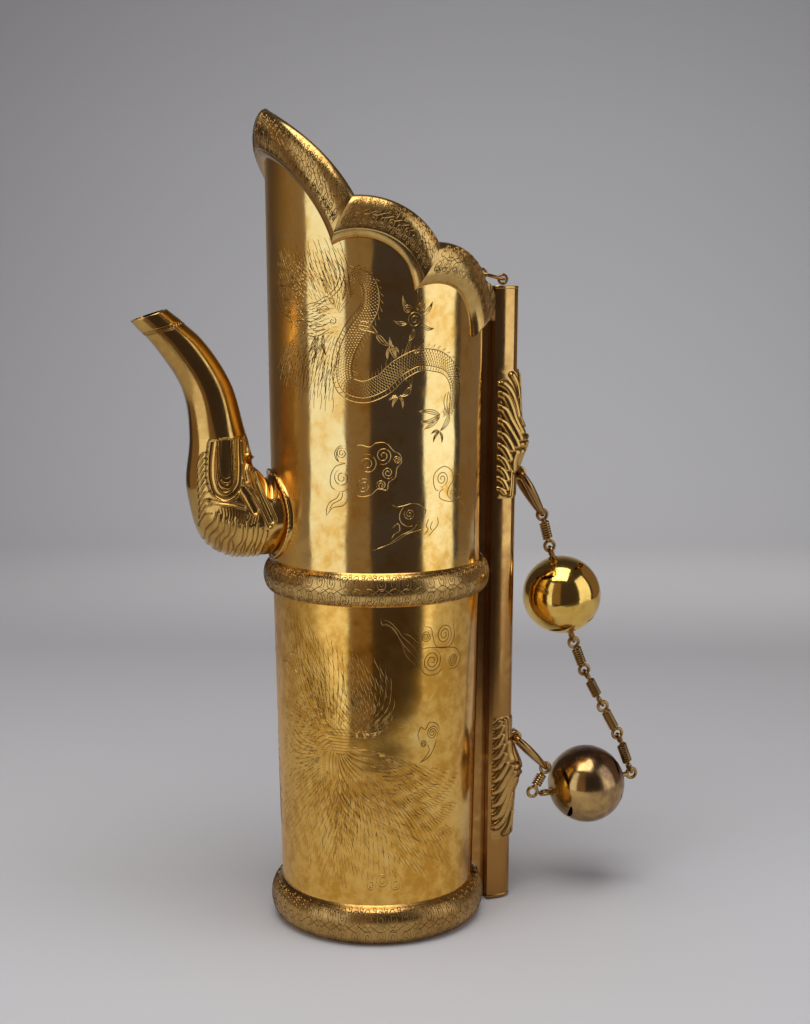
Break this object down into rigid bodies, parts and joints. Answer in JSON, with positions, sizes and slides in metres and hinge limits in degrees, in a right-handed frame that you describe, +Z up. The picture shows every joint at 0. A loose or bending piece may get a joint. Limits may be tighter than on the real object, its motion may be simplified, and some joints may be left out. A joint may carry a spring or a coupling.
{
  "type": "gilt silver ewer",
  "caption": "Tall tapering ewer with a scalloped rim collar, curved spout on a beast's head, upright bar handle and a hanging chain with hollow slit balls.",
  "frame": {"origin": "centre of the foot, on the surface that the ewer stands on", "axes": "+Z up, +X from the vessel's axis to the handle, so the spout points along -X"},
  "size_m": [0.296, 0.132, 0.4487],
  "materials": {
    "gilt": "polished gilding, engraved",
    "dark_gilt": "worn gilding"
  },
  "bodies": {
    "vessel": {"base_plate": "gilt", "lower_body_tube": "gilt", "upper_body_tube": "gilt", "base_ring": "gilt", "mid_ring": "gilt", "rim_crest_left": "gilt", "rim_shoulder_left": "gilt", "rim_flank_left": "gilt", "rim_crest_right": "gilt", "rim_shoulder_right": "gilt", "rim_flank_right": "gilt", "rim_back_lobe": "gilt", "spout_root_collar": "gilt", "spout_head": "gilt", "spout_tube": "gilt", "spout_lip": "gilt", "handle_web": "gilt", "bar_shell": "gilt", "bar_back_strip": "gilt", "bar_foot_cap": "gilt", "bar_top_cap": "gilt", "upper_mask": "gilt", "lower_mask": "gilt", "bar_top_eye": "dark_gilt", "rim_eye": "dark_gilt", "tie_link": "dark_gilt"},
    "upper_stirrup": {"upper_stirrup": "dark_gilt"},
    "link_a": {"link_a": "dark_gilt", "link_a_winding": "dark_gilt"},
    "ball_1": {"ball_1_first_half": "gilt", "ball_1_second_half": "gilt", "ball_1_first_eye": "dark_gilt", "ball_1_second_eye": "dark_gilt"},
    "link_b": {"link_b": "dark_gilt", "link_b_winding": "dark_gilt"},
    "link_c": {"link_c": "dark_gilt", "link_c_winding": "dark_gilt"},
    "link_d": {"link_d": "dark_gilt", "link_d_winding": "dark_gilt"},
    "link_e": {"link_e": "dark_gilt", "link_e_winding": "dark_gilt"},
    "ball_2": {"ball_2_first_half": "gilt", "ball_2_second_half": "gilt", "ball_2_first_eye": "dark_gilt", "ball_2_second_eye": "dark_gilt"},
    "lower_stirrup": {"lower_stirrup": "dark_gilt"},
    "link_f": {"link_f": "dark_gilt", "link_f_winding": "dark_gilt"}
  },
  "joints": [
    {"name": "upper_stirrup_swing", "type": "hinge", "parent": "vessel", "child": "upper_stirrup", "pos_m": [0.08377, 0, 0.25036], "axis": [0, -1, 0], "range_deg": [0, 25]},
    {"name": "link_a_swing", "type": "hinge", "parent": "upper_stirrup", "child": "link_a", "pos_m": [0.0987, 0, 0.2255], "axis": [0, -1, 0], "range_deg": [0, 20]},
    {"name": "ball_1_swing", "type": "hinge", "parent": "link_a", "child": "ball_1", "pos_m": [0.10375, 0, 0.20615], "axis": [0, -1, 0], "range_deg": [0, 15]},
    {"name": "link_b_swing", "type": "hinge", "parent": "ball_1", "child": "link_b", "pos_m": [0.11911, 0, 0.1496], "axis": [0, -1, 0], "range_deg": [0, 15]},
    {"name": "link_c_swing", "type": "hinge", "parent": "link_b", "child": "link_c", "pos_m": [0.12655, 0, 0.13136], "axis": [0, -1, 0], "range_deg": [0, 15]},
    {"name": "link_d_swing", "type": "hinge", "parent": "link_c", "child": "link_d", "pos_m": [0.13818, 0, 0.10968], "axis": [0, -1, 0], "range_deg": [0, 15]},
    {"name": "link_e_swing", "type": "hinge", "parent": "link_d", "child": "link_e", "pos_m": [0.14849, 0, 0.09115], "axis": [0, -1, 0], "range_deg": [0, 15]},
    {"name": "ball_2_swing", "type": "hinge", "parent": "link_e", "child": "ball_2", "pos_m": [0.15745, 0, 0.06717], "axis": [0, -1, 0], "range_deg": [0, 12]},
    {"name": "lower_stirrup_swing", "type": "hinge", "parent": "vessel", "child": "lower_stirrup", "pos_m": [0.08261, 0, 0.09536], "axis": [0, -1, 0], "range_deg": [0, 25]},
    {"name": "link_f_swing", "type": "hinge", "parent": "lower_stirrup", "child": "link_f", "pos_m": [0.10276, 0, 0.0745], "axis": [0, -1, 0], "range_deg": [-40, 0]}
  ],
  "couplings": [
    {"joint": "link_f_swing", "follows": "lower_stirrup_swing", "ratio": -1.5}
  ]
}
